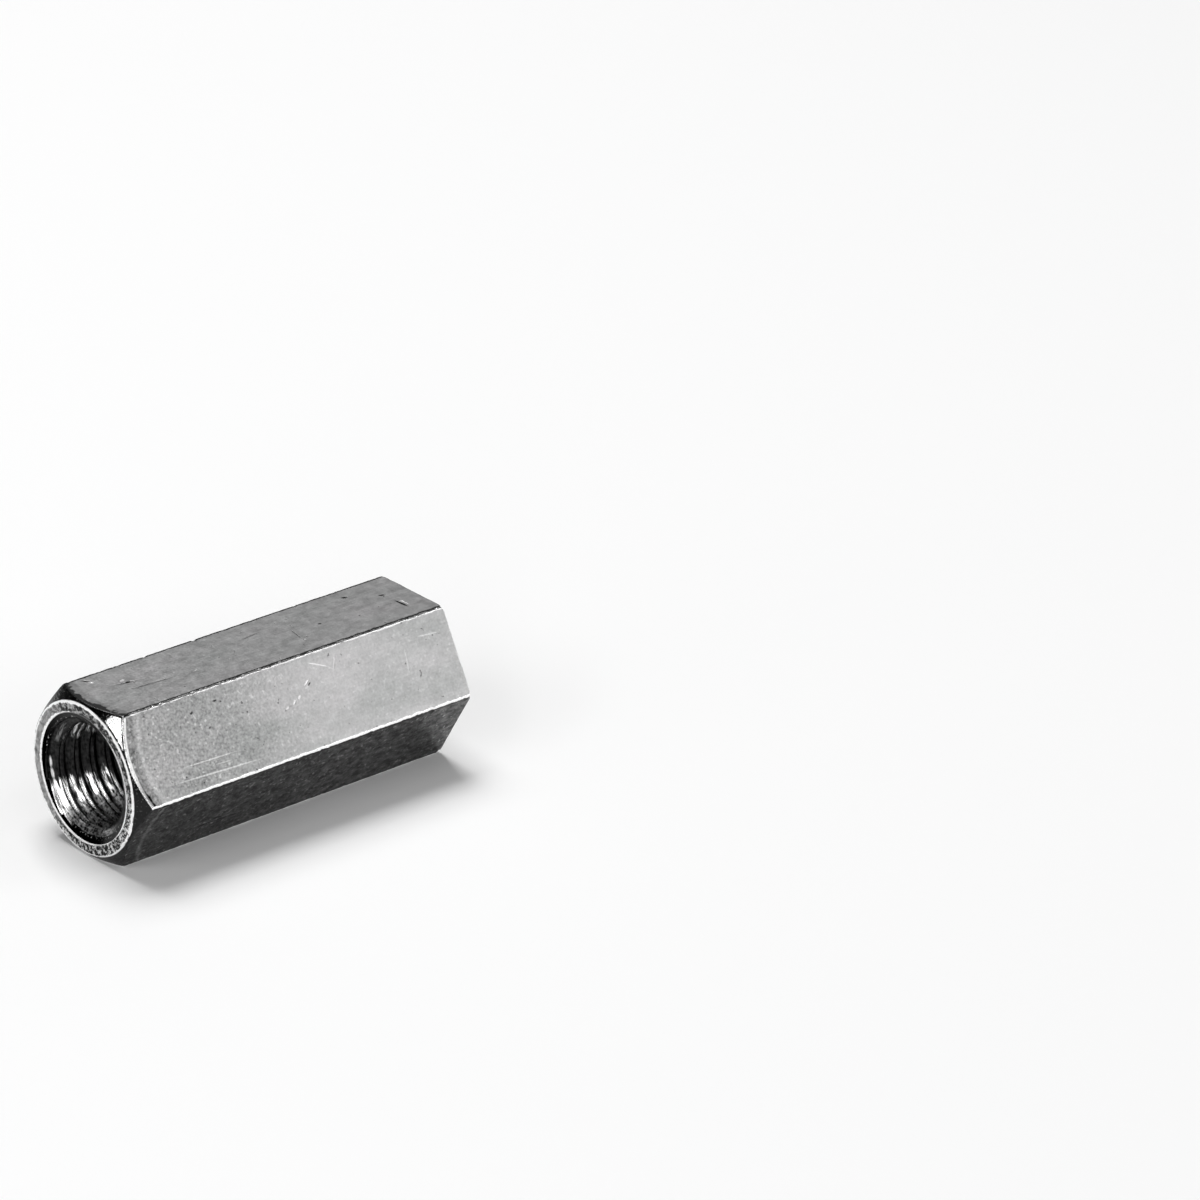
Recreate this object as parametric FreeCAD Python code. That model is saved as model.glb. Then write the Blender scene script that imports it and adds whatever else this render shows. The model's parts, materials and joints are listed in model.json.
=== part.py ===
import FreeCAD, Part
import math
import os

# A long hexagonal coupling nut, tapped right through.
# It is one piece: a length of hexagon stock, faced and chamfered in a lathe, drilled, countersunk and tapped.
# Millimetres. The thread axis is X, the chamfered end looks along -X, and the origin is at mid-length.
# The nut lies on one flat: +Z is up, and two of its long corners lie at the sides, at +Y and -Y.

# Hexagon bar
ACROSS_FLATS = 13.0
LENGTH = 33.2
EDGE_ROUNDING = 0.25

# Thread M10 x 1.5. Its crests are the wall of the plain bore; the grooves are left out.
THREAD_NOMINAL = 10.0
THREAD_PITCH = 1.5
CREST_DEPTH_PER_PITCH = 5 / 8 * math.sqrt(3) / 2

# Countersink at each mouth: the share that it takes of the wall outside the thread, and its full angle
COUNTERSINK_WALL_SHARE = 0.26
COUNTERSINK_ANGLE = 120.0

# Chamfered end: the flat ring left on the face stops this far inside the flats
FRONT_FACE_INSET = 0.17
FRONT_CHAMFER_ANGLE = 41.0

# Plain end: the lathe only breaks the corners, and reaches this far in from them
REAR_CORNER_BREAK = 0.25
REAR_CHAMFER_ANGLE = 41.0

# How far a cutting profile runs past the bar, so that no two faces coincide
TOOL_OVERRUN = 2.0

FRONT = -LENGTH / 2
REAR = LENGTH / 2
FLAT_RADIUS = ACROSS_FLATS / 2
CORNER_RADIUS = FLAT_RADIUS / math.cos(math.radians(30))
BORE_RADIUS = THREAD_NOMINAL / 2 - CREST_DEPTH_PER_PITCH * THREAD_PITCH
FRONT_FACE_RADIUS = FLAT_RADIUS - FRONT_FACE_INSET
REAR_FACE_RADIUS = CORNER_RADIUS - REAR_CORNER_BREAK
MOUTH_RADIUS = THREAD_NOMINAL / 2 + COUNTERSINK_WALL_SHARE * (FRONT_FACE_RADIUS - THREAD_NOMINAL / 2)


def turned(outline):
    """A solid of revolution about X from (x, radius) points that start and end on the axis."""
    points = [FreeCAD.Vector(x, radius, 0) for x, radius in outline]
    face = Part.Face(Part.makePolygon(points + points[:1]))
    return face.revolve(FreeCAD.Vector(0, 0, 0), FreeCAD.Vector(1, 0, 0), 360)


def hexagon_bar():
    """The bar as it is drawn: a hexagon with slightly rounded long edges."""
    corners = []
    for step in range(6):
        angle = math.radians(60 * step)
        corners.append(FreeCAD.Vector(FRONT, CORNER_RADIUS * math.cos(angle), CORNER_RADIUS * math.sin(angle)))
    section = Part.Face(Part.makePolygon(corners + corners[:1]))
    bar = section.extrude(FreeCAD.Vector(LENGTH, 0, 0))
    long_edges = [edge for edge in bar.Edges if edge.BoundBox.XLength > LENGTH / 2]
    return bar.makeFillet(EDGE_ROUNDING, long_edges)


def lathe_envelope():
    """The space that the facing and chamfering cuts leave: a cylinder with a cone at each end."""
    outer = CORNER_RADIUS + TOOL_OVERRUN
    front_depth = (outer - FRONT_FACE_RADIUS) * math.tan(math.radians(FRONT_CHAMFER_ANGLE))
    rear_depth = (outer - REAR_FACE_RADIUS) * math.tan(math.radians(REAR_CHAMFER_ANGLE))
    return turned([
        (FRONT, 0),
        (FRONT, FRONT_FACE_RADIUS),
        (FRONT + front_depth, outer),
        (REAR - rear_depth, outer),
        (REAR, REAR_FACE_RADIUS),
        (REAR, 0),
    ])


def bore_cutter():
    """The through bore at the thread's crests, with a countersink that opens at each mouth."""
    half_angle = math.radians(COUNTERSINK_ANGLE / 2)
    depth = (MOUTH_RADIUS - BORE_RADIUS) / math.tan(half_angle)
    overrun_radius = MOUTH_RADIUS + TOOL_OVERRUN * math.tan(half_angle)
    return turned([
        (FRONT - TOOL_OVERRUN, 0),
        (FRONT - TOOL_OVERRUN, overrun_radius),
        (FRONT + depth, BORE_RADIUS),
        (REAR - depth, BORE_RADIUS),
        (REAR + TOOL_OVERRUN, overrun_radius),
        (REAR + TOOL_OVERRUN, 0),
    ])


def coupling_nut():
    """The finished nut, one solid."""
    blank = hexagon_bar().common(lathe_envelope())
    return blank.cut(bore_cutter()).Solids[0]


nut = coupling_nut()
os.makedirs("parts", exist_ok=True)
nut.exportStep("parts/coupling_nut.step")
print("coupling_nut", nut.ShapeType, "valid", nut.isValid(), "faces", len(nut.Faces), "volume", round(nut.Volume, 2))
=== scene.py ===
import json
import math
import random

import bpy
import numpy as np
from mathutils import Matrix, Vector, noise

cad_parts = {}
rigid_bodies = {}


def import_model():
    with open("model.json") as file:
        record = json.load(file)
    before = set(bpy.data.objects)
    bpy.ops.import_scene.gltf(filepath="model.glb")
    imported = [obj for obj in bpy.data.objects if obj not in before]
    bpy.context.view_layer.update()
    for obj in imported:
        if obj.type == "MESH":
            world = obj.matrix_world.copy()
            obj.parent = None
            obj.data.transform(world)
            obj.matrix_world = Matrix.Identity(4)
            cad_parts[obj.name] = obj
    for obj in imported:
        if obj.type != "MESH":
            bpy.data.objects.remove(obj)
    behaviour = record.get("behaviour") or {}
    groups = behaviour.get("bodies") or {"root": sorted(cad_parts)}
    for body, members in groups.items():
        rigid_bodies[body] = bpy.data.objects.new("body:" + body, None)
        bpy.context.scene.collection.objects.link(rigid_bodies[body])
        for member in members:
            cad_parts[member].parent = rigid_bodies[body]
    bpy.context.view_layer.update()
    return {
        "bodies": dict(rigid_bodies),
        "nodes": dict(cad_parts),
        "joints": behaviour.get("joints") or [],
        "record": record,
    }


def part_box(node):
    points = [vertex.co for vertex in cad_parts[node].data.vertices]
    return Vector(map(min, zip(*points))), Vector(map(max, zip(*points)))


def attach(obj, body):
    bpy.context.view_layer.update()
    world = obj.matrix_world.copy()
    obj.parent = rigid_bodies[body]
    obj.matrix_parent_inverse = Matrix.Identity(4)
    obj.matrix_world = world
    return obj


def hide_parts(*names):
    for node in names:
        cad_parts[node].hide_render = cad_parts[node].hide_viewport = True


# Sizes are in millimetres and angles in degrees. Blender's own unit is the metre.
# Angles round the nut run from +Y towards +Z: the upper flat faces 90, the corners lie at 0, 60, 120 ...
MM = 0.001
NODE = "coupling_nut"
PIECE = "coupling_nut_steel"

# Camera, fitted to the photograph: it looks at the nut's chamfered mouth from the front left and above
CAMERA_AZIMUTH = -42.78
CAMERA_ELEVATION = 24.92
CAMERA_ROLL = 1.92
CAMERA_DISTANCE = 456.9
CAMERA_LENS = 177.35
CAMERA_SENSOR_WIDTH = 36.0
CAMERA_CLIP_START = 10.0
CAMERA_CLIP_END = 20000.0
MOUTH_LEFT_OF_CENTRE = 39.93
MOUTH_BELOW_CENTRE = 13.81

# Hexagon bar. The columns of points across a flat stand at these shares of half its width, from both edges.
EDGE_ROUNDING = 0.25
EDGE_ARC_STEPS = 8
FLAT_COLUMN_PLACES = (0.03, 0.07, 0.13, 0.21, 0.3, 0.4, 0.5, 0.6, 0.7, 0.8, 0.9)
FLAT_ROWS = 300

# Turned ends: face rings, chamfers and countersinks
FRONT_FACE_INSET = 0.17
FRONT_CHAMFER_ANGLE = 41.0
REAR_CORNER_BREAK = 0.25
REAR_CHAMFER_ANGLE = 41.0
COUNTERSINK_WALL_SHARE = 0.26
COUNTERSINK_ANGLE = 120.0
RIM_ROUNDING = 0.09
RIM_STEPS = 4
RING_STEPS = 6
CHAMFER_STEPS = 6
REAR_FACE_STEPS = 7

# The edge where the chamfer meets the flats: its rounding varies by this share, in this many waves
ARC_EDGE_ROUNDING = 0.15
ARC_EDGE_STEPS = 5
EDGE_UNEVENNESS = 0.6
EDGE_WAVES_PER_TURN = 40
FRONT_EDGE_SEED = 1
REAR_EDGE_SEED = 2

# The countersink: its turn from the face, its rounded rim's reach, and its radius per millimetre of depth
SINK_TURN = 90 - COUNTERSINK_ANGLE / 2
SINK_RIM_REACH = RIM_ROUNDING * math.tan(math.radians(SINK_TURN / 2))
SINK_SLOPE = math.tan(math.radians(COUNTERSINK_ANGLE / 2))

# Thread M10 x 1.5, right hand. The half widths of its flat crests and roots are shares of the pitch.
THREAD_RADIUS = 5.0
THREAD_PITCH = 1.5
THREAD_COLUMNS = 96
THREAD_ROWS_PER_TURN = 12
THREAD_LEAD_IN = 0.04
CREST_DEPTH_AT_PLUS_Y = 1.15
CREST_HALF_WIDTH = 1 / 8
ROOT_HALF_WIDTH = 1 / 16
THREAD_CORNER_SHARPNESS = 16.0

# Wear on the long edges: an even rub and random small chips
RIDGE_WEAR_REACH = 0.5
RIDGE_RUB_DEPTH = 0.014
RUB_WAVES_PER_MM = 2.5
RUB_SEED_PER_RIDGE = 7.3
CHIPS_PER_RIDGE = 34
CHIP_HALF_LENGTH = (0.08, 0.3)
CHIP_DEPTH = (0.01, 0.05)

# The chips that show in the photograph, on each long edge: x, half length and depth
SEEN_CHIPS = {
    3: [(12.5, 0.25, 0.12), (10.9, 0.2, 0.08), (-3.2, 0.2, 0.05)],
    2: [(-13.4, 0.2, 0.06), (-12.2, 0.25, 0.05), (-9.0, 0.2, 0.05)],
    1: [(-7.8, 0.25, 0.12), (-2.9, 0.3, 0.15)],
    4: [(16.5, 0.3, 0.18)],
}

# Dents in the front ring's outer rim: angle, half width and depth
RIM_DENTS = [
    (-158.0, 0.22, 0.12),
    (-128.0, 0.16, 0.07),
    (-100.0, 0.2, 0.05),
    (64.0, 0.2, 0.05),
    (35.0, 0.3, 0.04),
]

# Marks on the flats: the flat's angle, x and place across it at each end, half width and tone.
# The place across counts from the flat's middle, and a tone below 0 is dark.
MARKS = [
    (150, -14.0, 2.47, -3.8, 2.91, 0.1, 0.3),
    (150, -12.3, 1.52, -5.7, 1.71, 0.09, 0.24),
    (150, -9.0, 2.1, -7.2, 2.2, 0.08, 0.23),
    (150, 2.1, -3.1, 4.3, -2.1, 0.09, 0.29),
    (150, 5.1, -3.1, 4.5, -1.7, 0.09, 0.26),
    (150, 13.1, -2.1, 15.5, -1.9, 0.1, 0.14),
    (150, 11.7, -1.6, 11.4, 0.6, 0.12, 0.16),
    (150, -0.9, -0.1, -0.7, -0.2, 0.13, 0.33),
    (150, -0.1, -0.3, 0.1, -0.5, 0.13, 0.36),
    (150, 0.5, -0.6, 0.7, -0.7, 0.14, 0.34),
    (150, 1.4, -1.4, 1.9, -1.7, 0.11, 0.39),
    (150, 1.7, -1.3, 2.0, -1.5, 0.09, -0.39),
    (150, -8.4, -0.7, -8.2, -0.8, 0.1, -0.2),
    (150, -7.3, -2.6, -7.0, -2.6, 0.12, -0.39),
    (90, 14.3, 0.5, 14.4, 2.1, 0.18, -0.55),
    (90, 14.6, 0.6, 14.7, 2.0, 0.08, 0.15),
    (90, 4.3, -0.5, 3.9, 1.6, 0.09, -0.21),
    (90, -13.4, -1.1, -9.8, -0.4, 0.14, -0.21),
    (90, -12.8, 0.3, -7.7, 0.7, 0.15, -0.20),
    (90, -0.1, -1.3, 2.3, -1.6, 0.14, -0.18),
    (90, -14.3, -3.2, -13.8, -2.5, 0.15, -0.5),
    (90, -14.2, -2.9, -13.8, -2.2, 0.08, 0.45),
    (90, -12.0, -1.2, -11.7, -1.3, 0.21, 0.42),
    (90, -11.7, -0.8, -11.5, -0.8, 0.18, -0.55),
    (90, 11.3, -2.4, 11.6, -2.3, 0.20, -0.44),
    (90, 13.9, -0.9, 14.3, -0.8, 0.18, -0.44),
    (90, 6.7, 0.2, 6.9, 0.2, 0.14, -0.36),
    (90, -6.6, 0.9, -6.1, 0.8, 0.09, 0.34),
    (210, 3.1, 0.4, 3.4, -0.1, 0.12, 0.52),
    (210, -11.0, 1.4, -3.9, 1.6, 0.15, -0.16),
    (30, -4.0, -1.0, 1.5, 0.2, 0.09, 0.26),
    (330, 5.0, 1.0, 9.0, 1.2, 0.09, 0.29),
    (270, -6.0, 0.5, 2.0, 0.9, 0.11, 0.29),
]

# A mark is full up to this share of its size, and fades out beyond it
MARK_CORE = 0.35

# The tone of metal rubbed bright, also used for painted highlights, and of the dark line of painted shade
# beside a rubbed edge
RUBBED_AND_HIGHLIGHT_TONE = 0.97
PAINTED_SHADE_LINE_TONE = 0.03

# Tones of the flats: the upper one, the others at their front and rear (painted lighter towards the rear, as
# a painted gradient of light), and the shares left by the painted shade on the downward ones
UPPER_FLAT_TONE = 0.455
FRONT_FLAT_TONE = 0.42
REAR_FLAT_TONE = 0.55
FRONT_PAINTED_SHADE_SHARE = 0.155
REAR_PAINTED_SHADE_SHARE = 0.11
LEAST_PAINTED_SHADE_SHARE = 0.02

# The front ring: where its borders are widest, as painted highlight, where the inner one is thin, and where
# its inner rim is painted dull, as painted shade
WIDE_OUTER_RIM = 135.0
WIDE_INNER_RIM = -20.0
THIN_INNER_RIM = 170.0
SHADED_RIM_SIDE = 85.0

# Scratches on the front ring: the angle and radius at each end, half width and tone
RING_MARKS = [
    (-158.0, 5.6, -157.5, 6.33, 0.07, 0.97),
    (-155.5, 5.8, -155.0, 6.33, 0.08, 0.01),
    (-127.0, 5.4, -128.5, 6.3, 0.07, 0.9),
    (-124.5, 5.5, -126.0, 6.3, 0.08, 0.01),
]

# The corner of the front chamfer that is painted bright, a painted glint on rubbed metal
GLINT_CORNER = 126.5
GLINT_CORNER_HALF_ANGLE = 12.0

# Inside the mouth: the side where flanks and crests are painted bright as a painted highlight, how deep, and
# how fast it narrows
HIGHLIT_FLANKS = -42.0
HIGHLIT_CRESTS = -47.0
HIGHLIT_DEPTH = 5.2
HIGHLIGHT_NARROWS_PER_MM = 0.009

# Inside the mouth: the middle of the mottled side and of the side with short streaks
MOTTLED_SIDE = -95.0
STREAKED_SIDE = 30.0

# How far the highlit flanks and crests shade off their true slope, because they are torn and rolled over
FLANK_RELIEF = 0.4
CREST_RELIEF = 0.87

# The bright burr along the first thread: its angles, how deep and at what radius it lies, and half width
BURR_ANGLES = (-1.0, -12.0, -23.0, -34.0)
BURR_DEPTH = 0.5
BURR_RADIUS = 4.95
BURR_HALF_WIDTH = 0.11

# Studio: a white floor, a dim white world and lamps
FLOOR_HALF_SIZE = 6000.0
FLOOR_COLOUR = (0.92, 0.92, 0.92, 1)
FLOOR_ROUGHNESS = 0.9
FLOOR_SPECULAR = 0.1
WORLD_COLOUR = (1, 1, 1, 1)
WORLD_STRENGTH = 0.09

# A high key from behind, and panels that the flats, edges and flanks mirror:
# name, azimuth, elevation, distance, width, height, radiance and roll
LAMPS = [
    ("key", 168, 67, 900, 500, 500, 8.4, 0),
    ("right_panel", 46, 21, 700, 600, 400, 0.84, 0),
    ("right_upper_panel", 54, 42, 700, 200, 130, 2.2, 0),
    ("back_panel", 137, 25, 900, 500, 300, 0.34, 0),
    ("right_low_strip", 38, 4.5, 700, 600, 70, 2.5, 0),
    ("front_panel", -12, 27, 700, 600, 150, 2.2, 0),
    ("mouth_strip", -59.5, 33, 600, 640, 110, 3.6, -53),
    ("corner_strip", -88, 35, 600, 310, 85, 4.5, -27),
    ("left_side_panel", -92, 8, 600, 200, 150, 1.4, 0),
]

# A far value for the distance fields, where a vertex is nowhere near the feature
FAR = 99.0

# Two vertices nearer than this are one
TOUCHING = 1e-5

# The nut's surfaces, each with a material. A strip of faces between two of them goes to the one named first.
ZONES = ("ring", "chamfer", "flat", "rim", "edge", "sink", "thread")


def hexagon_columns(across_flats):
    """Points round the hexagon: angle, radius, nearest long edge, and place beside it.

    The place is a distance: above 0 on the flats that face 30, 150 and 270, below 0 on the others.
    """
    centre = (across_flats / 2 - EDGE_ROUNDING) / math.cos(math.radians(30))
    flat = (across_flats - 2 * EDGE_ROUNDING) * math.tan(math.radians(30))
    places = sorted(set(FLAT_COLUMN_PLACES) | {1.0} | {2.0 - p for p in FLAT_COLUMN_PLACES})
    points, edge_side, ridge = [], [], []
    for corner in range(6):
        side = 1 if corner % 2 == 0 else -1
        ahead = math.radians(60 * corner)
        middle = direction(ahead) * centre
        for turn in np.radians(np.linspace(-30, 30, EDGE_ARC_STEPS + 1)):
            points.append(middle + EDGE_ROUNDING * direction(ahead + turn))
            edge_side.append(side * turn * EDGE_ROUNDING)
            ridge.append(corner)
        along = direction(ahead + math.radians(120))
        tangent = points[-1]
        for place in places:
            points.append(tangent + along * flat * place / 2)
            edge_side.append(side * (min(place, 2 - place) * flat / 2 + EDGE_ROUNDING * math.radians(30)))
            ridge.append(corner if place < 1 else (corner + 1) % 6)
    points = np.array(points)
    angle = np.unwrap(np.arctan2(points[:, 1], points[:, 0]))
    return angle, np.hypot(points[:, 0], points[:, 1]), np.array(ridge), np.array(edge_side)


def direction(angle):
    """The unit vector at an angle in radians."""
    return np.array([math.cos(angle), math.sin(angle)])


def arc_rows(x, radius, rounding, start, end, steps):
    """Rows of a rounded edge in the (x, radius) plane, swept from one normal direction to another."""
    turns = np.radians(np.linspace(start, end, steps + 1))
    return [(x + rounding * math.cos(t), radius + rounding * math.sin(t)) for t in turns]


def straight_rows(before, after, steps):
    """Rows strictly between two rows, evenly spaced."""
    shares = np.linspace(0, 1, steps + 1)[1:-1]
    return [(before[0] + (after[0] - before[0]) * s, before[1] + (after[1] - before[1]) * s) for s in shares]


def uneven(rounding, angle, seed):
    """A rounding that varies smoothly round the nut, and is the same where the circle closes."""
    reach = EDGE_WAVES_PER_TURN / (2 * math.pi)
    waves = [noise.noise(Vector((reach * math.cos(a), reach * math.sin(a), seed))) for a in angle]
    return rounding * (1 + EDGE_UNEVENNESS * np.array(waves))


class Sizes:
    """Every size that the meshes and materials share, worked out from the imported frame."""

    def __init__(self, frame):
        low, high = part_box(NODE)
        mounts = {mount["name"]: mount for mount in frame["record"]["mounts"]}
        self.front = low.x / MM
        self.rear = high.x / MM
        self.floor = low.z / MM
        self.across_flats = (high.z - low.z) / MM
        self.bore = mounts["front_thread"]["dims"]["r_mm"]
        self.face = self.across_flats / 2 - FRONT_FACE_INSET
        self.rear_face = self.across_flats / 2 / math.cos(math.radians(30)) - REAR_CORNER_BREAK
        self.mouth = THREAD_RADIUS + COUNTERSINK_WALL_SHARE * (self.face - THREAD_RADIUS)


def cone_offset(x_plane, radius_at_plane, angle, inward, towards):
    """The line parallel to a chamfer and inside it, as a function from radius to x."""
    slope = math.tan(math.radians(angle)) * towards
    depth = inward / math.cos(math.radians(angle)) * towards
    return lambda radius: x_plane + depth + (radius - radius_at_plane) * slope


def front_rows(sizes, angle, hexagon):
    """The front end's rows, zone by zone, from the countersink to the edge of the flats."""
    x = sizes.front + RIM_ROUNDING
    rim_radius = sizes.face - RIM_ROUNDING * math.tan(math.radians(FRONT_CHAMFER_ANGLE / 2))
    inner = arc_rows(x, sizes.mouth + SINK_RIM_REACH, RIM_ROUNDING, 180 + SINK_TURN, 180, RIM_STEPS)
    outer = arc_rows(x, rim_radius, RIM_ROUNDING, 180, 180 - FRONT_CHAMFER_ANGLE, RIM_STEPS)
    rounding = uneven(ARC_EDGE_ROUNDING, angle, FRONT_EDGE_SEED)
    cone = cone_offset(sizes.front, sizes.face, FRONT_CHAMFER_ANGLE, rounding, 1)
    radius = hexagon - rounding
    edge = arc_rows(cone(radius), radius, rounding, 180 - FRONT_CHAMFER_ANGLE, 90, ARC_EDGE_STEPS)
    return [
        (inner, "rim"),
        (straight_rows(inner[-1], outer[0], RING_STEPS), "ring"),
        (outer, "rim"),
        (straight_rows(outer[-1], edge[0], CHAMFER_STEPS), "chamfer"),
        (edge, "edge"),
    ]


def rear_rows(sizes, angle, hexagon):
    """The rear end's rows, zone by zone, from the edge of the flats to the countersink."""
    rounding = uneven(RIM_ROUNDING, angle, REAR_EDGE_SEED)
    cone = cone_offset(sizes.rear, sizes.rear_face, REAR_CHAMFER_ANGLE, rounding, -1)
    radius = hexagon - rounding
    x = np.minimum(cone(radius), sizes.rear - rounding)
    plane_radius = sizes.rear_face - rounding * math.tan(math.radians(REAR_CHAMFER_ANGLE / 2))
    rim_radius = np.minimum(radius, plane_radius)
    edge = arc_rows(x, radius, rounding, 90, REAR_CHAMFER_ANGLE, RIM_STEPS)
    rim = arc_rows(sizes.rear - rounding, rim_radius, rounding, REAR_CHAMFER_ANGLE, 0, RIM_STEPS)
    inner_radius = sizes.mouth + SINK_RIM_REACH
    inner = arc_rows(sizes.rear - RIM_ROUNDING, inner_radius, RIM_ROUNDING, 0, -SINK_TURN, RIM_STEPS)
    return [
        (edge, "edge"),
        (rim, "edge"),
        (straight_rows(rim[-1], inner[0], REAR_FACE_STEPS), "ring"),
        (inner, "rim"),
    ]


def skin_rows(sizes, angle, hexagon):
    """The outer skin: x and radius of each row over the columns, and each row's zone."""
    front = front_rows(sizes, angle, hexagon)
    rear = rear_rows(sizes, angle, hexagon)
    last_of_front = front[-1][0][-1]
    first_of_rear = rear[0][0][0]
    flats = [(straight_rows(last_of_front, first_of_rear, FLAT_ROWS), "flat")]
    x, radius, zones = [], [], []
    for rows, zone in front + flats + rear:
        for row_x, row_radius in rows:
            x.append(np.broadcast_to(row_x, hexagon.shape))
            radius.append(np.broadcast_to(row_radius, hexagon.shape))
            zones.append(zone)
    return np.array(x), np.array(radius), zones


def ridge_wear(ridge, x, sizes):
    """How far a long edge is rubbed and chipped back, at each x."""
    seed = ridge * RUB_SEED_PER_RIDGE
    waves = [noise.noise(Vector((v * RUB_WAVES_PER_MM, seed, 0))) for v in x]
    depth = RIDGE_RUB_DEPTH * (1 + np.array(waves))
    dice = random.Random(ridge)
    chips = list(SEEN_CHIPS.get(ridge, []))
    for _ in range(CHIPS_PER_RIDGE):
        place = dice.uniform(sizes.front, sizes.rear)
        chips.append((place, dice.uniform(*CHIP_HALF_LENGTH), dice.uniform(*CHIP_DEPTH)))
    for centre, half_length, chip_depth in chips:
        depth = np.maximum(depth, chip_depth * (1 - ((x - centre) / half_length) ** 2))
    return depth


def wear_ridges(x, radius, ridge, edge_side, sizes):
    """Rub and chip the six long edges of the skin."""
    for column in np.flatnonzero(np.abs(edge_side) < RIDGE_WEAR_REACH):
        share = (1 - abs(edge_side[column]) / RIDGE_WEAR_REACH) ** 2
        radius[:, column] -= share * ridge_wear(int(ridge[column]), x[:, column], sizes)


def dent_rim(x, radius, angle, sizes):
    """Press the dents into the outer rim of the front ring."""
    for place, half_width, depth in RIM_DENTS:
        turn = (angle[None, :] - math.radians(place) + math.pi) % (2 * math.pi) - math.pi
        away = np.hypot(turn * sizes.face, radius - sizes.face) / half_width
        near_front = x < sizes.front + 2 * RIM_ROUNDING
        x += np.where(near_front, depth * np.clip(1 - away ** 2, 0, 1), 0)


def off_crest_share(share):
    """Shares of the pitch from the middle of the nearest crest, from -0.5 to 0.5."""
    return (share + 0.5) % 1 - 0.5


def thread_radius(share, sizes):
    """Radius of the thread at a share of the pitch from the middle of its crest, with softened corners."""
    rise = (np.abs(off_crest_share(share)) - CREST_HALF_WIDTH) / (0.5 - ROOT_HALF_WIDTH - CREST_HALF_WIDTH)
    k = THREAD_CORNER_SHARPNESS
    soft = (np.logaddexp(0, k * rise) - np.logaddexp(0, k * (rise - 1))) / k
    return sizes.bore + (THREAD_RADIUS - sizes.bore) * soft


def thread_rows(sizes, angle, start, end):
    """The thread as rows that follow the helix: x, radius, place off the crest, and where a sink cuts it."""
    turns = math.ceil((end[0] - start[0]) / THREAD_PITCH) + 1
    steps = np.arange(turns * THREAD_ROWS_PER_TURN + 1) / THREAD_ROWS_PER_TURN
    row_x = start[0] + THREAD_PITCH * (steps - 1)
    x = np.clip(row_x[:, None] + THREAD_PITCH * angle[None, :] / (2 * math.pi), start[0], end[0])
    share = (row_x - sizes.front - CREST_DEPTH_AT_PLUS_Y) / THREAD_PITCH
    off_crest = off_crest_share(share) * THREAD_PITCH
    radius = np.repeat(thread_radius(share, sizes)[:, None], len(angle), axis=1)
    cone = np.maximum(start[1] - (x - start[0]) * SINK_SLOPE, start[1] - (end[0] - x) * SINK_SLOPE)
    return x, np.maximum(radius, cone), off_crest, cone >= radius


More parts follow.
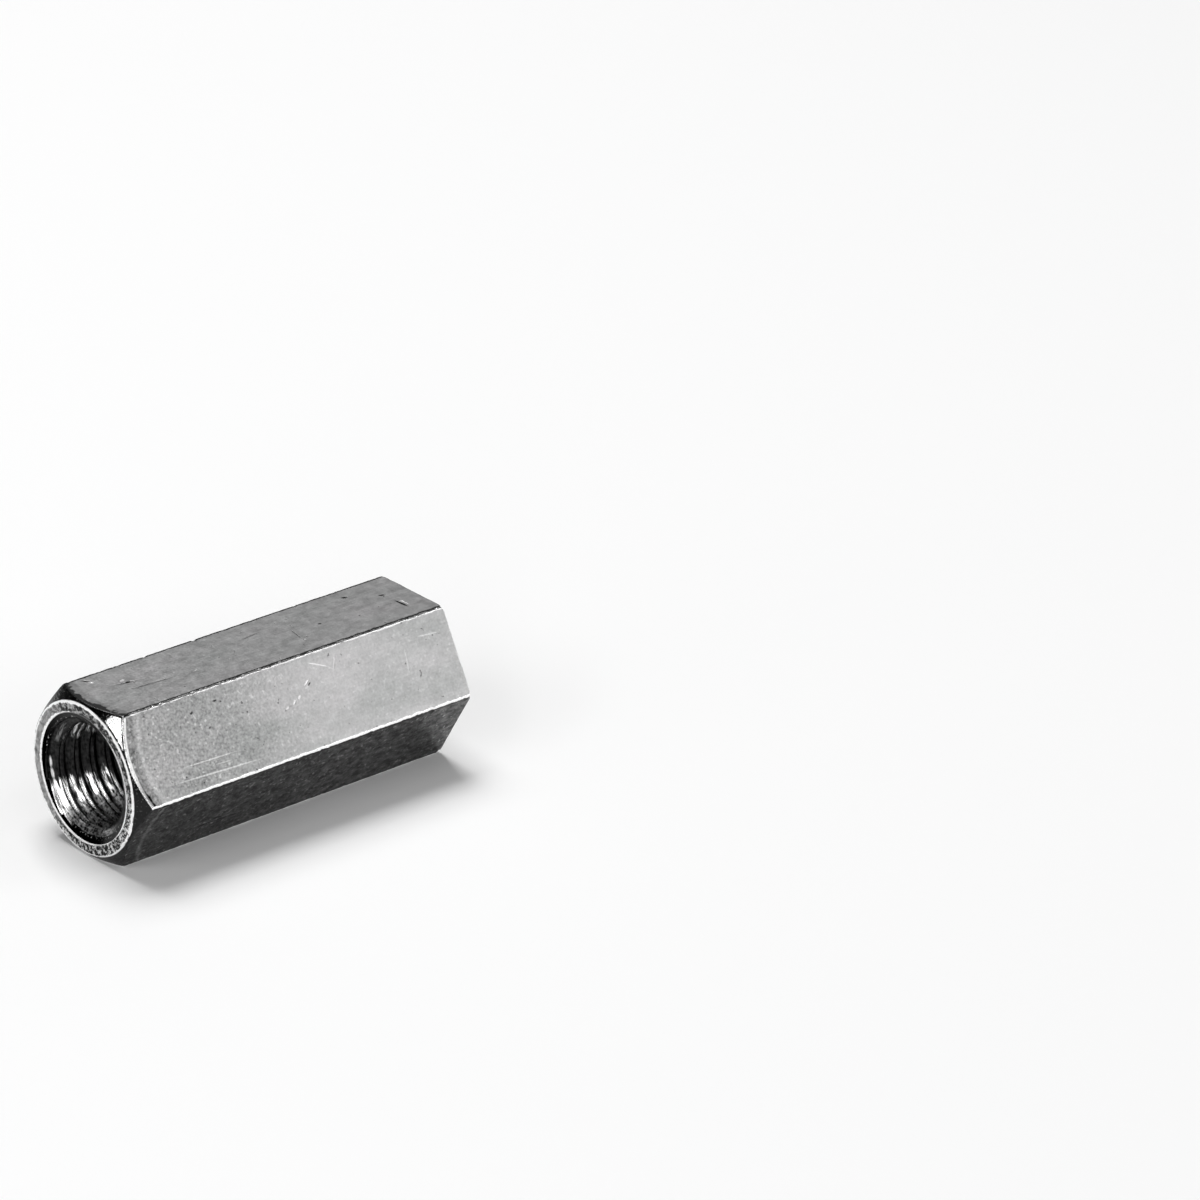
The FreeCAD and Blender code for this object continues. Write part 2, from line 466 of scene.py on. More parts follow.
class NutMesh:
    """The nut's vertices in millimetres, its faces, and what the materials need to know about each."""

    def __init__(self, sizes):
        self.vertices, self.faces, self.zones = [], [], []
        self.edge_side, self.arc_distance, self.off_crest = [], [], []
        skin, skin_angle = self.add_skin(sizes)
        self.add_bore(sizes, skin, skin_angle)

    def place(self, x, radius, angle, edge_side=FAR, arc_distance=FAR, off_crest=0.0):
        """Add a vertex and give its number."""
        self.vertices.append((x, radius * math.cos(angle), radius * math.sin(angle)))
        self.edge_side.append(edge_side)
        self.arc_distance.append(arc_distance)
        self.off_crest.append(off_crest)
        return len(self.vertices) - 1

    def add_face(self, corners, zone):
        """Add a face, leaving out corners that fall together."""
        loop = [c for k, c in enumerate(corners) if c != corners[k - 1]]
        if len(loop) > 2:
            self.faces.append(loop)
            self.zones.append(zone)

    def add_skin(self, sizes):
        """Everything outside the countersinks."""
        angle, hexagon, ridge, edge_side = hexagon_columns(sizes.across_flats)
        x, radius, zones = skin_rows(sizes, angle, hexagon)
        arc_distance = x - x[zones.index("flat")]
        outside = slice(zones.index("edge"), None)
        wear_ridges(x[outside], radius[outside], ridge, edge_side, sizes)
        dent_rim(x, radius, angle, sizes)
        skin = np.zeros(x.shape, int)
        for row in range(len(x)):
            for column in range(len(angle)):
                here = (x[row, column], radius[row, column])
                if row and math.dist(here, (x[row - 1, column], radius[row - 1, column])) < TOUCHING:
                    skin[row, column] = skin[row - 1, column]
                else:
                    skin[row, column] = self.place(
                        *here, angle[column], edge_side[column], arc_distance[row, column])
        for row in range(len(skin) - 1):
            zone = min(zones[row], zones[row + 1], key=ZONES.index)
            for column in range(len(angle)):
                after = (column + 1) % len(angle)
                self.add_face(
                    [skin[row, column], skin[row, after], skin[row + 1, after], skin[row + 1, column]], zone)
        return skin, angle

    def add_bore(self, sizes, skin, skin_angle):
        """The countersinks and the thread, joined to both ends of the skin."""
        angle = np.arange(THREAD_COLUMNS) * 2 * math.pi / THREAD_COLUMNS
        start = self.lead_in(skin[0], 1)
        end = self.lead_in(skin[-1], -1)
        first = np.array([self.place(*start, a) for a in angle])
        last = np.array([self.place(*end, a) for a in angle])
        self.zip_rings(first, angle, skin[0], skin_angle)
        self.zip_rings(skin[-1], skin_angle, last, angle)
        rows = thread_rows(sizes, angle, start, end)
        bore = self.thread_vertices(rows, angle, start, end, first, last)
        self.thread_faces(bore, rows[3])

    def lead_in(self, ring, inward):
        """The x and radius of the countersink just inside one end of the skin."""
        x, y, z = self.vertices[ring[0]]
        return x + inward * THREAD_LEAD_IN, math.hypot(y, z) - THREAD_LEAD_IN * SINK_SLOPE

    def thread_vertices(self, rows, angle, start, end, first, last):
        """The thread's vertices, row by row; what runs past an end is the ring there."""
        x, radius, off_crest, _ = rows
        bore = np.zeros(x.shape, int)
        for row in range(len(x)):
            for column in range(THREAD_COLUMNS):
                if x[row, column] <= start[0]:
                    bore[row, column] = first[column]
                elif x[row, column] >= end[0]:
                    bore[row, column] = last[column]
                else:
                    bore[row, column] = self.place(
                        x[row, column], radius[row, column], angle[column], off_crest=off_crest[row])
        return bore

    def thread_faces(self, bore, cut):
        """Faces between the thread's rows. Each row ends where the row one turn later begins."""
        last_row = len(bore) - 1
        for row in range(last_row):
            for column in range(THREAD_COLUMNS):
                after = (row, column + 1)
                if column + 1 == THREAD_COLUMNS:
                    after = (min(row + THREAD_ROWS_PER_TURN, last_row), 0)
                later = (min(after[0] + 1, last_row), after[1])
                ends = ((row, column), (row + 1, column), later, after)
                zone = "sink" if all(cut[e] for e in ends) else "thread"
                self.add_face([bore[e] for e in ends], zone)

    def zip_rings(self, inner, inner_angle, outer, outer_angle):
        """Triangles between two rings whose points don't face each other."""
        turn = 2 * math.pi
        shift = int(np.argmin(np.abs((outer_angle - inner_angle[0] + math.pi) % turn - math.pi)))
        outer = np.roll(outer, -shift)
        outer_angle = (np.roll(outer_angle, -shift) - inner_angle[0] + math.pi) % turn - math.pi
        outer_angle = np.unwrap(outer_angle)
        inner_angle = inner_angle - inner_angle[0]
        i = j = 0
        while i < len(inner) or j < len(outer):
            next_inner = inner_angle[(i + 1) % len(inner)] + turn * ((i + 1) // len(inner))
            next_outer = outer_angle[(j + 1) % len(outer)] + turn * ((j + 1) // len(outer))
            a, b = inner[i % len(inner)], outer[j % len(outer)]
            if j == len(outer) or (i < len(inner) and next_inner < next_outer):
                self.add_face([a, inner[(i + 1) % len(inner)], b], "sink")
                i += 1
            else:
                self.add_face([a, outer[(j + 1) % len(outer)], b], "sink")
                j += 1


class Metal:
    """A metal material in the making. An input of a node may be a number or another node's output."""

    def __init__(self, name, sizes):
        self.across_flats = sizes.across_flats
        self.material = bpy.data.materials.new(name)
        self.material.use_nodes = True
        self.tree = self.material.node_tree
        self.shader = self.tree.nodes["Principled BSDF"]
        self.shader.inputs["Metallic"].default_value = 1

    def add(self, kind, inputs, **settings):
        node = self.tree.nodes.new(kind)
        for name, value in settings.items():
            setattr(node, name, value)
        for name, value in inputs.items():
            self.feed(node.inputs[name], value)
        return node

    def feed(self, socket, value):
        if isinstance(value, bpy.types.NodeSocket):
            self.tree.links.new(value, socket)
        else:
            socket.default_value = value

    def vector(self, operation, first, second=(0, 0, 0)):
        return self.add("ShaderNodeVectorMath", {0: first, 1: second}, operation=operation)

    def point(self, x=1, y=1, z=1):
        """The point on the object in millimetres, stretched along each axis."""
        coordinates = self.add("ShaderNodeTexCoord", {}).outputs["Object"]
        return self.vector("MULTIPLY", coordinates, (x / MM, y / MM, z / MM)).outputs[0]

    def along(self, x, y, z):
        """How far the point lies along a direction."""
        return self.vector("DOT_PRODUCT", self.point(), (x, y, z)).outputs["Value"]

    def radius(self):
        return self.vector("LENGTH", self.point(0, 1, 1)).outputs["Value"]

    def facing(self, angle):
        """Cosine of the angle round the nut between the point and a direction."""
        turn = math.radians(angle)
        return self.calc("DIVIDE", self.along(0, math.cos(turn), math.sin(turn)), self.radius())

    def noise(self, cells, detail, seed):
        """Noise of so many cells per millimetre along x, y and z."""
        return self.noise_at(self.point(*cells), detail, seed)

    def noise_at(self, vector, detail, seed):
        return self.add("ShaderNodeTexNoise", {"Vector": vector, "Scale": 1.0, "Detail": detail, "W": seed},
                        noise_dimensions="4D").outputs[0]

    def field(self, name):
        return self.add("ShaderNodeAttribute", {}, attribute_name=name).outputs["Fac"]

    def calc(self, operation, first, second):
        return self.add("ShaderNodeMath", {0: first, 1: second}, operation=operation).outputs[0]

    def total(self, first, *others):
        for other in others:
            first = self.calc("ADD", first, other)
        return first

    def times(self, first, *others):
        for other in others:
            first = self.calc("MULTIPLY", first, other)
        return first

    def minus(self, first, second):
        return self.calc("SUBTRACT", first, second)

    def larger(self, first, second):
        return self.calc("MAXIMUM", first, second)

    def swing(self, value, amount):
        """A noise value turned into a change about zero."""
        return self.times(self.minus(value, 0.5), amount)

    def ease(self, value, low, high):
        """0 up to low and 1 from high on, with a smooth rise between; low may be the larger."""
        return self.add("ShaderNodeMapRange", {"Value": value, "From Min": low, "From Max": high},
                        interpolation_type="SMOOTHSTEP").outputs[0]

    def band(self, value, rise, fall):
        """1 between a rise and a fall, each given by where it is 0 and where it is 1."""
        return self.times(self.ease(value, *rise), self.ease(value, *fall))

    def blend(self, share, first, second):
        return self.add("ShaderNodeMix", {"Factor": share, "A": first, "B": second}).outputs[0]

    def mark(self, start, end, outward, half_width):
        """1 along the middle of a straight mark between two points, fading to 0 at its rim."""
        along = (end - start).normalized()
        reach = (end - start).length / 2 + half_width
        from_middle = self.vector("SUBTRACT", self.point(), (start + end) / 2).outputs[0]
        directions = {"X": along / reach, "Y": outward.cross(along) / half_width, "Z": outward}
        parts = {axis: self.vector("DOT_PRODUCT", from_middle, towards).outputs["Value"]
                 for axis, towards in directions.items()}
        away = self.vector("LENGTH", self.add("ShaderNodeCombineXYZ", parts).outputs[0]).outputs["Value"]
        return self.ease(away, 1.0, MARK_CORE)

    def mark_on_flat(self, flat, start_x, start_across, end_x, end_across, half_width):
        """A straight mark on a flat."""
        turn = math.radians(flat)
        outward = Vector((0, math.cos(turn), math.sin(turn)))
        across = Vector((0, -math.sin(turn), math.cos(turn)))
        height = self.across_flats / 2
        start, end = (Vector((x, 0, 0)) + across * a + outward * height
                      for x, a in ((start_x, start_across), (end_x, end_across)))
        return self.mark(start, end, outward, half_width)

    def finish(self, base, roughness, height):
        """Link the colour, the roughness and a bump whose height is in millimetres."""
        self.feed(self.shader.inputs["Base Color"], base)
        self.feed(self.shader.inputs["Roughness"], roughness)
        bump = self.add("ShaderNodeBump", {"Height": height, "Distance": MM, "Strength": 1.0})
        self.tree.links.new(bump.outputs["Normal"], self.shader.inputs["Normal"])
        return self.material


def burnished_and_highlit_rim(sizes):
    """The two rims of the face rings: bright, burnished and painted as a highlight, with dull breaks, and one
    side painted dull as painted shade.
    """
    metal = Metal("burnished_and_highlit_rim", sizes)
    patches = metal.noise((2.2, 2.2, 2.2), detail=3, seed=1)
    grain = metal.noise((9, 9, 9), detail=2, seed=2)
    inner = metal.ease(metal.radius(), sizes.mouth + 0.3, sizes.mouth + 0.2)
    painted_shade_side = metal.times(inner, metal.ease(metal.facing(SHADED_RIM_SIDE), 0.6, 0.9))
    bright = metal.ease(metal.total(patches, metal.swing(grain, 0.5)), 0.34, 0.47)
    bright = metal.times(bright, metal.blend(painted_shade_side, 1.0, 0.1))
    base = metal.blend(bright, 0.2, 0.95)
    roughness = metal.blend(bright, 0.4, 0.22)
    return metal.finish(base, roughness, metal.swing(grain, 0.02))


def highlit_and_shaded_edge(sizes):
    """The arcs where a chamfer meets the flats: burnished, with painted highlight and shade: bright on every
    second flat, dark on the others.
    """
    metal = Metal("highlit_and_shaded_edge", sizes)
    patches = metal.noise((1.8, 1.8, 1.8), detail=3, seed=3)
    grain = metal.noise((9, 9, 9), detail=2, seed=4)
    shaded_flats_side = metal.ease(metal.field("edge_side"), 0.0, -0.1)
    bright = metal.ease(metal.total(patches, metal.swing(grain, 0.4)), 0.34, 0.5)
    # Painted highlight on the arcs beside the bright flats and painted shade beside the others.
    base = metal.blend(shaded_flats_side, metal.blend(bright, 0.5, RUBBED_AND_HIGHLIGHT_TONE), metal.blend(bright, 0.02, 0.05))
    roughness = metal.blend(bright, 0.4, 0.25)
    return metal.finish(base, roughness, metal.swing(grain, 0.02))


def behind_face(sizes, angle, radius, depth=0.0):
    """A point at a depth behind the front face."""
    turn = math.radians(angle)
    return Vector((sizes.front + depth, radius * math.cos(turn), radius * math.sin(turn)))


def ring_borders(metal, sizes, mottle, grain):
    """The bright inner and outer borders of a ring, with ragged edges; rubbed bright, and painted wider on
    some sides as painted highlight.
    """
    place = metal.total(metal.radius(), metal.swing(mottle, 0.3), metal.swing(grain, 0.15))
    thin_side = metal.ease(metal.facing(THIN_INNER_RIM), 0.4, 0.9)
    inner_width = metal.blend(metal.ease(metal.facing(WIDE_INNER_RIM), -0.4, 0.6), -0.06, 0.2)
    inner_width = metal.total(inner_width, metal.times(thin_side, 0.16))
    outer_width = metal.blend(metal.ease(metal.facing(WIDE_OUTER_RIM), -0.2, 0.6), 0.12, 0.27)
    inner = metal.ease(metal.minus(place, inner_width), sizes.mouth + 0.04, sizes.mouth - 0.03)
    outer = metal.ease(metal.total(place, outer_width), sizes.face - 0.04, sizes.face + 0.03)
    return inner, outer


def scratch_ring(metal, sizes, base):
    """The front ring's scratches, drawn over its colour."""
    for start_angle, start_radius, end_angle, end_radius, half_width, tone in RING_MARKS:
        start = behind_face(sizes, start_angle, start_radius)
        end = behind_face(sizes, end_angle, end_radius)
        base = metal.blend(metal.mark(start, end, Vector((-1, 0, 0)), half_width), base, tone)
    return base


def faced_ring(sizes):
    """The faced ends: faint turning marks, and in front mottled plating between borders rubbed bright and
    widened by painted highlight.
    """
    metal = Metal("faced_ring", sizes)
    mottle = metal.noise((3.4, 3.4, 3.4), detail=2, seed=5)
    grain = metal.noise((8, 8, 8), detail=2, seed=6)
    rings = metal.add("ShaderNodeCombineXYZ", {"X": metal.times(metal.radius(), 11)}).outputs[0]
    turning = metal.noise_at(rings, detail=2, seed=18)
    rear = metal.ease(metal.along(1, 0, 0), -1, 1)
    smooth_side = metal.larger(metal.ease(metal.along(0, 1, 0), 2, 5), rear)
    rough = metal.ease(metal.total(mottle, metal.swing(grain, 0.6)), 0.44, 0.64)
    plating = metal.blend(metal.ease(metal.along(0, 0, 1), -4, 4), 0.75, 0.42)
    speckled = metal.blend(rough, 0.015, plating)
    smooth = metal.total(0.3, metal.swing(mottle, 0.7), metal.swing(turning, 0.4))
    inner, outer = ring_borders(metal, sizes, mottle, grain)
    borders = metal.larger(inner, metal.blend(rear, outer, 0.0))
    base = metal.blend(borders, metal.blend(smooth_side, speckled, smooth), RUBBED_AND_HIGHLIGHT_TONE)
    base = scratch_ring(metal, sizes, base)
    roughness = metal.blend(rough, 0.5, 0.35)
    return metal.finish(base, roughness, metal.total(metal.swing(mottle, 0.05), metal.swing(turning, 0.01)))


def painted_glint_corner(metal, sizes, speck):
    """The corner of the chamfer that is painted bright as a glint, short of the ring's rim and of the arcs.
    """
    limit = math.cos(math.radians(GLINT_CORNER_HALF_ANGLE))
    facing = metal.total(metal.facing(GLINT_CORNER), metal.swing(speck, 0.012))
    from_rim = metal.total(metal.radius(), metal.swing(speck, 0.08))
    from_arc = metal.total(metal.field("arc_distance"), metal.swing(speck, 0.1))
    inside_borders = metal.times(
        metal.ease(from_rim, sizes.face + 0.1, sizes.face + 0.16),
        metal.ease(from_arc, -0.28, -0.34),
    )
    return metal.times(metal.ease(facing, limit - 0.004, limit), inside_borders)


def turned_chamfer(sizes):
    """The front chamfer: painted near black as painted shade, darker at the top, with the lathe's lines round
    it, and one corner painted bright as a glint.
    """
    metal = Metal("turned_chamfer", sizes)
    lines = metal.noise((16, 0.6, 0.6), detail=2, seed=7)
    speck = metal.noise((6, 6, 6), detail=2, seed=8)
    upper = metal.ease(metal.along(0, 0, 1), 0.0, 3.0)
    spots = metal.times(metal.ease(speck, 0.6, 0.7), metal.blend(upper, 0.06, 0.6))
    # Painted shade: the near-black tone stands in for the dark the chamfer mirrors, darkest at the top.
    dark = metal.total(metal.blend(upper, 0.022, 0.006), metal.swing(lines, 0.012), spots)
    rubbed_and_highlit = painted_glint_corner(metal, sizes, speck)
    base = metal.blend(rubbed_and_highlit, dark, RUBBED_AND_HIGHLIGHT_TONE)
    roughness = metal.blend(rubbed_and_highlit, metal.total(0.22, metal.swing(speck, 0.2)), 0.2)
    return metal.finish(base, roughness, metal.total(metal.swing(lines, 0.008), metal.swing(speck, 0.025)))


class FlatMetal(Metal):
    """The plated flats, with the patterns and places that their colour, roughness and bump share."""

    def __init__(self, sizes):
        super().__init__("drawn_flat", sizes)
        self.cloud = self.noise((0.13, 0.3, 0.3), detail=3, seed=9)
        self.mottle = self.noise((1.1, 1.5, 1.5), detail=4, seed=10)
        self.blots = self.noise((1.2, 2.0, 2.0), detail=3, seed=21)
        self.grain = self.noise((4.6, 4.6, 4.6), detail=2, seed=11)
        self.lines = self.noise((0.22, 6, 6), detail=3, seed=12)
        self.pits = self.ease(self.noise((2.6, 2.6, 2.6), detail=1, seed=13), 0.7, 0.77)
        self.flecks = self.ease(self.noise((2.9, 2.9, 2.9), detail=1, seed=19), 0.6, 0.74)
        self.front = self.ease(self.along(1, 0, 0), 5, -12)
        self.rear = self.ease(self.along(1, 0, 0), 9, 15)
        self.underside = self.ease(self.along(0, 0, 1), 0.0, -0.2)
        self.upper = self.ease(self.along(0, 0, 1), 6.3, 6.45)
        self.bright_side = self.ease(self.field("edge_side"), 0.0, 0.1)
        self.arc = self.total(self.field("arc_distance"), self.swing(self.grain, 0.15))
        self.lower_half = self.times(self.ease(self.along(0, 0, 1), 3.0, 0.5), self.bright_side)
        self.light_line = self.times(
            self.band(self.arc, (0.85, 1.15), (1.5, 1.15)), self.blend(self.upper, 1.0, 0.0))
        self.grain_strength = self.times(self.blend(self.front, 0.3, 0.8), self.blend(self.upper, 1.0, 0.4))


def rubbed_edges_and_painted_light(metal):
    """Where the flats are rubbed bright and painted as a highlight, along the long edges and the arcs, and
    the dark lines of painted shade beside that.
    """
    side = metal.total(metal.field("edge_side"), metal.swing(metal.blots, 0.3), metal.swing(metal.grain, 0.2))
    upper_half = metal.minus(metal.bright_side, metal.lower_half)
    # Painted highlight on the arc, only on the upper half of the bright flats; the ragged dark patches by the
    # upper flat's arc are painted shade.
    arc_highlight = metal.times(metal.ease(metal.arc, 0.1, 0.04), upper_half)
    ragged_arc_shade = metal.total(metal.arc, metal.swing(metal.mottle, 1.6))
    ragged_arc_shade = metal.times(metal.ease(ragged_arc_shade, 0.3, 0.15), metal.upper)
    # The bright band lies to one side of each long edge, a painted highlight where the rounding catches the
    # light; the dark line beside it is painted shade.
    rubbed_and_highlit = metal.larger(metal.band(side, (-0.11, -0.05), (0.19, 0.12)), arc_highlight)
    shade_line = metal.larger(metal.band(side, (-0.3, -0.22), (-0.04, -0.1)), ragged_arc_shade)
    return rubbed_and_highlit, shade_line


def flat_tone(metal):
    """The tone of the plating before marks and the painted shade of the downward flats. The side flats are
    painted lighter towards the rear, a painted gradient of light, and darker beside the lower arcs, painted
    shade.
    """
    # Painted gradient of light: the side flats are lighter towards the rear.
    side_tone = metal.blend(metal.front, REAR_FLAT_TONE, FRONT_FLAT_TONE)
    cloud_strength = metal.blend(metal.upper, 1.0, 0.4)
    fleck_strength = metal.times(metal.blend(metal.front, 0.1, 0.26), metal.blend(metal.upper, 1.0, 0.3))
    # Painted shade: a band beside the arc, on the lower half of the bright flats.
    arc_shade = metal.times(metal.band(metal.arc, (0.0, 0.06), (0.26, 0.16)), metal.lower_half)
    return metal.total(
        metal.blend(metal.upper, side_tone, UPPER_FLAT_TONE),
        metal.times(metal.swing(metal.cloud, 0.35), cloud_strength),
        metal.swing(metal.mottle, 0.25),
        metal.times(metal.swing(metal.grain, 0.95), metal.grain_strength),
        metal.swing(metal.lines, 0.14),
        metal.times(metal.ease(metal.arc, 0.95, 0.6), -0.13),
        metal.times(metal.light_line, 0.12),
        metal.times(arc_shade, -0.3),
        metal.times(metal.pits, -0.3),
        metal.times(metal.flecks, fleck_strength),
    )


def add_marks(metal, tone):
    """The tone with the marks drawn on it, and the sum of the marks."""
    dents = 0.0
    for flat, start_x, start_across, end_x, end_across, half_width, strength in MARKS:
        mark = metal.mark_on_flat(flat, start_x, start_across, end_x, end_across, half_width)
        tone = metal.total(tone, metal.times(mark, strength))
        dents = metal.total(dents, mark)
    return tone, dents


def painted_underside_shade(metal):
    """The share of the tone that the painted shade on the downward flats leaves, darker at the rear."""
    shade_share = metal.total(
        metal.blend(metal.rear, FRONT_PAINTED_SHADE_SHARE, REAR_PAINTED_SHADE_SHARE),
        metal.swing(metal.blots, 0.8),
        metal.swing(metal.grain, 0.5),
        metal.times(metal.flecks, 0.32),
        metal.times(metal.light_line, 0.22),
    )
    return metal.larger(shade_share, LEAST_PAINTED_SHADE_SHARE)


def tinted(metal, base):
    """A grey colour, here and there very slightly warm or cold."""
    tint = metal.swing(metal.cloud, 0.04)
    return metal.add("ShaderNodeCombineXYZ", {
        "X": metal.times(base, metal.total(1.0, tint)),
        "Y": metal.times(base, metal.minus(1.0, tint)),
        "Z": base,
    }).outputs[0]


def drawn_flat(sizes):
    """The plated flats: drawing lines, grain, pits, marks, edges rubbed bright with a painted highlight or
    left dark as painted shade, and the downward flats painted darker as shade.
    """
    metal = FlatMetal(sizes)
    rubbed_and_highlit, shade_line = rubbed_edges_and_painted_light(metal)
    tone, dents = add_marks(metal, flat_tone(metal))
    # Painted shade: the downward flats are painted darker, standing in for the shade beneath the nut.
    tone = metal.times(tone, metal.blend(metal.underside, 1.0, painted_underside_shade(metal)))
    base = metal.blend(shade_line, metal.blend(rubbed_and_highlit, tone, RUBBED_AND_HIGHLIGHT_TONE), PAINTED_SHADE_LINE_TONE)
    roughness = metal.total(
        0.36,
        metal.swing(metal.mottle, 0.2),
        metal.swing(metal.grain, 0.15),
        metal.times(rubbed_and_highlit, -0.1),
    )
    height = metal.total(
        metal.times(metal.swing(metal.grain, 0.012), metal.grain_strength),
        metal.swing(metal.lines, 0.006),
        metal.times(metal.pits, -0.02),
        metal.times(dents, -0.015),
    )
    return metal.finish(tinted(metal, base), roughness, height)


def painted_flank_highlight(metal, crest, depth, streak, fine):
    """Where the thread's flanks and crests are painted bright as a painted highlight, with ragged ends."""
    narrowed = metal.times(depth, -HIGHLIGHT_NARROWS_PER_MM)
    ragged = metal.total(metal.swing(streak, 0.2), metal.swing(fine, 0.12), narrowed)
    flanks = metal.ease(metal.total(metal.facing(HIGHLIT_FLANKS), ragged), 0.94, 0.985)
    crests = metal.ease(metal.total(metal.facing(HIGHLIT_CRESTS), ragged), 0.93, 0.97)
    shallow = metal.ease(depth, HIGHLIT_DEPTH + 0.4, HIGHLIT_DEPTH)
    return metal.times(metal.blend(crest, flanks, crests), shallow)


def short_streaks(metal, sizes, crest, depth, fine):
    """Light streaks on the flanks and crests of one side, faint near the mouth."""
    low, high = sizes.bore + 0.24, sizes.bore + 0.6
    flank = metal.band(metal.radius(), (low, low + 0.08), (high, high - 0.1))
    streaks = metal.times(metal.larger(crest, flank), metal.ease(fine, 0.4, 0.6))
    side = metal.ease(metal.facing(STREAKED_SIDE), 0.96, 0.99)
    return metal.times(streaks, side, metal.blend(metal.ease(depth, 1.1, 1.9), 0.14, 1.0))


def dark_thread(metal, sizes, crest, depth, fine):
    """The tone of the thread outside the painted highlight: dark as painted shade, with a mottled side and
    some streaks.
    """
    mottle = metal.noise((4, 4, 4), detail=3, seed=20)
    mottled_tone = metal.total(0.22, metal.swing(mottle, 1.6), metal.swing(fine, 1.0))
    tone = metal.total(
        0.022,
        metal.swing(fine, 0.05),
        metal.swing(mottle, 0.08),
        metal.times(mottled_tone, metal.ease(metal.facing(MOTTLED_SIDE), 0.64, 0.85)),
        short_streaks(metal, sizes, crest, depth, fine),
    )
    return metal.larger(tone, 0.006)


def thread_relief(metal, sizes, crest):
    """A height that turns the highlit flanks and crests towards the light."""
    flanks = metal.times(metal.minus(metal.radius(), sizes.bore), FLANK_RELIEF)
    crests = metal.times(metal.field("off_crest"), CREST_RELIEF, crest)
    return metal.times(metal.total(flanks, crests), metal.ease(metal.facing(HIGHLIT_CRESTS), 0.3, 0.8))


def draw_burr(metal, sizes, tone):
    """The bright burr, a chain of short marks drawn over the thread's tone."""
    burr = [behind_face(sizes, angle, BURR_RADIUS, BURR_DEPTH) for angle in BURR_ANGLES]
    for start, end in zip(burr, burr[1:]):
        outward = (end - start).cross(Vector((1, 0, 0))).normalized()
        tone = metal.blend(metal.mark(start, end, outward, BURR_HALF_WIDTH), tone, RUBBED_AND_HIGHLIGHT_TONE)
    return tone


def bore_finish(metal, sizes):
    """Colour, roughness and height inside the mouth: dark as painted shade, with one side painted bright as a
    highlight and one mottled.
    """
    streak = metal.noise((5, 0.7, 0.7), detail=2, seed=16)
    fine = metal.noise((16, 1.6, 1.6), detail=2, seed=17)
    crest = metal.ease(metal.radius(), sizes.bore + 0.14, sizes.bore + 0.04)
    depth = metal.minus(metal.along(1, 0, 0), sizes.front)
    flank_highlight = painted_flank_highlight(metal, crest, depth, streak, fine)
    dark = dark_thread(metal, sizes, crest, depth, fine)
    tone = metal.blend(flank_highlight, dark, metal.total(0.9, metal.swing(fine, 0.4)))
    tone = draw_burr(metal, sizes, tone)
    height = metal.total(metal.swing(fine, 0.012), thread_relief(metal, sizes, crest))
    return tone, metal.blend(flank_highlight, 0.36, 0.24), height


def dark_sink(sizes):
    """The countersinks: a dark speckled band inside the rim, and beyond it the thread's tone, with its
    painted highlight and shade.
    """
    metal = Metal("dark_sink", sizes)
    speck = metal.noise((5, 5, 5), detail=3, seed=14)
    spots = metal.ease(speck, 0.56, 0.72)
    tone, roughness, height = bore_finish(metal, sizes)
    tone = metal.total(tone, metal.times(spots, 0.2))
    place = metal.total(metal.radius(), metal.swing(speck, 0.25))
    band = metal.ease(place, sizes.mouth - 0.6, sizes.mouth - 0.52)
    band_tone = metal.times(spots, metal.ease(place, sizes.mouth - 0.25, sizes.mouth - 0.35))
    tone = metal.blend(band, tone, band_tone)
    return metal.finish(tone, roughness, metal.total(height, metal.swing(speck, 0.02)))


def tapped_thread(sizes):
    """The thread's flanks, crests and roots."""
    metal = Metal("tapped_thread", sizes)
    return metal.finish(*bore_finish(metal, sizes))


def build_nut(sizes):
    """The visual nut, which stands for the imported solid."""
    nut_mesh = NutMesh(sizes)
    mesh = bpy.data.meshes.new(PIECE)
    mesh.from_pydata((np.array(nut_mesh.vertices) * MM).tolist(), [], nut_mesh.faces)
    looks = {
        "rim": burnished_and_highlit_rim,
        "edge": highlit_and_shaded_edge,
        "ring": faced_ring,
        "chamfer": turned_chamfer,
        "flat": drawn_flat,
        "sink": dark_sink,
        "thread": tapped_thread,
    }
    for zone in ZONES:
        mesh.materials.append(looks[zone](sizes))
    mesh.polygons.foreach_set("material_index", [ZONES.index(zone) for zone in nut_mesh.zones])
    mesh.polygons.foreach_set("use_smooth", [True] * len(nut_mesh.faces))
    for name in ("edge_side", "arc_distance", "off_crest"):
        field = mesh.attributes.new(name, "FLOAT", "POINT")
        field.data.foreach_set("value", getattr(nut_mesh, name))
    mesh.update()
    nut = bpy.data.objects.new(PIECE, mesh)
    bpy.context.scene.collection.objects.link(nut)
    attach(nut, "root")
    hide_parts(NODE)


def view_axes(azimuth, elevation, roll):
    """Right, up and back of a camera or lamp."""
    a, e, r = math.radians(azimuth), math.radians(elevation), math.radians(roll)
    back = Vector((math.sin(a) * math.cos(e), -math.cos(a) * math.cos(e), math.sin(e)))
    level = Vector((math.cos(a), math.sin(a), 0))
    rise = back.cross(level)
    return level * math.cos(r) + rise * math.sin(r), rise * math.cos(r) - level * math.sin(r), back


def stand(data, place, azimuth, elevation, roll):
    """Put a camera or lamp at a place, looking back along a direction."""
    right, up, back = view_axes(azimuth, elevation, roll)
    item = bpy.data.objects.new(data.name, data)
    bpy.context.scene.collection.objects.link(item)
    item.matrix_world = Matrix.Translation(place * MM) @ Matrix((right, up, back)).transposed().to_4x4()
    return item


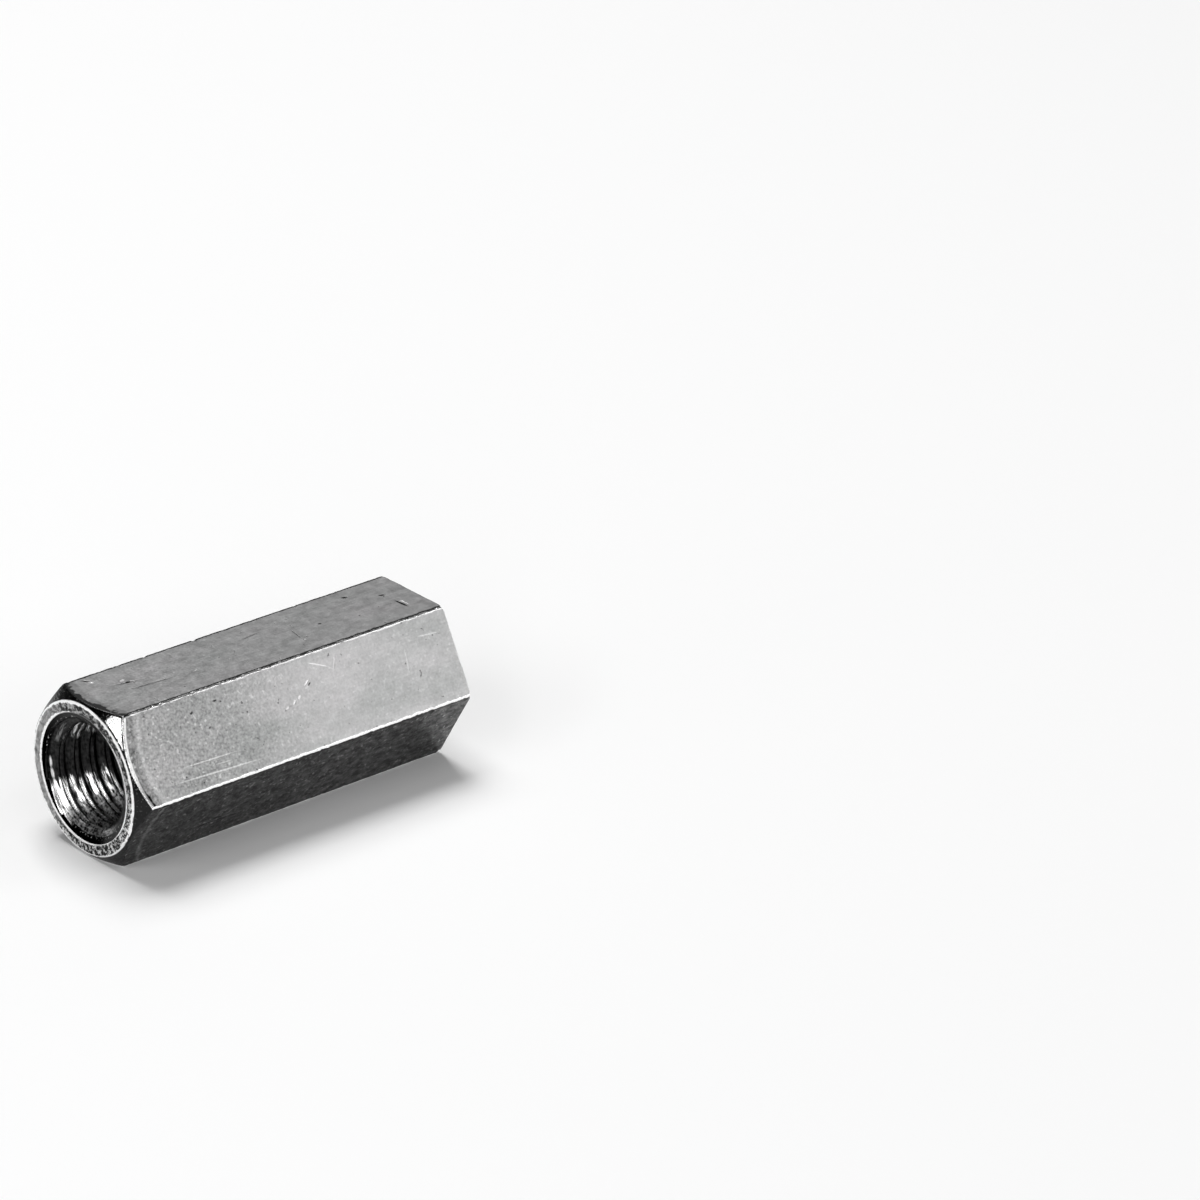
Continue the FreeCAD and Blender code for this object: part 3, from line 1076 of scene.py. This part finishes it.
def build_camera(sizes):
    """The photograph's view."""
    right, up, back = view_axes(CAMERA_AZIMUTH, CAMERA_ELEVATION, CAMERA_ROLL)
    data = bpy.data.cameras.new("photo_view")
    data.sensor_width = CAMERA_SENSOR_WIDTH
    data.lens = CAMERA_LENS
    data.clip_start = CAMERA_CLIP_START * MM
    data.clip_end = CAMERA_CLIP_END * MM
    mouth = Vector((sizes.front, 0, 0))
    place = mouth + back * CAMERA_DISTANCE + right * MOUTH_LEFT_OF_CENTRE + up * MOUTH_BELOW_CENTRE
    bpy.context.scene.camera = stand(data, place, CAMERA_AZIMUTH, CAMERA_ELEVATION, CAMERA_ROLL)


def softbox(name, azimuth, elevation, distance, width, height, radiance, roll):
    """An area lamp that stands in a direction from the nut and faces it."""
    data = bpy.data.lights.new(name, "AREA")
    data.shape = "RECTANGLE"
    data.size = width * MM
    data.size_y = height * MM
    data.energy = radiance * math.pi * data.size * data.size_y
    stand(data, view_axes(azimuth, elevation, roll)[2] * distance, azimuth, elevation, roll)


def build_floor(sizes):
    """A plain white floor under the nut."""
    mesh = bpy.data.meshes.new("floor")
    r, z = FLOOR_HALF_SIZE * MM, sizes.floor * MM
    mesh.from_pydata([(-r, -r, z), (r, -r, z), (r, r, z), (-r, r, z)], [], [(0, 1, 2, 3)])
    floor = bpy.data.objects.new("floor", mesh)
    bpy.context.scene.collection.objects.link(floor)
    material = bpy.data.materials.new("floor")
    material.use_nodes = True
    shader = material.node_tree.nodes["Principled BSDF"]
    shader.inputs["Base Color"].default_value = FLOOR_COLOUR
    shader.inputs["Roughness"].default_value = FLOOR_ROUGHNESS
    shader.inputs["Specular IOR Level"].default_value = FLOOR_SPECULAR
    mesh.materials.append(material)


def build_studio(sizes):
    """World, floor and lamps."""
    scene = bpy.context.scene
    scene.world = bpy.data.worlds.new("studio")
    scene.world.use_nodes = True
    background = scene.world.node_tree.nodes["Background"]
    background.inputs["Color"].default_value = WORLD_COLOUR
    background.inputs["Strength"].default_value = WORLD_STRENGTH
    build_floor(sizes)
    for lamp in LAMPS:
        softbox(*lamp)
    scene.view_settings.view_transform = "Standard"


def main():
    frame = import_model()
    sizes = Sizes(frame)
    build_camera(sizes)
    build_nut(sizes)
    build_studio(sizes)


main()
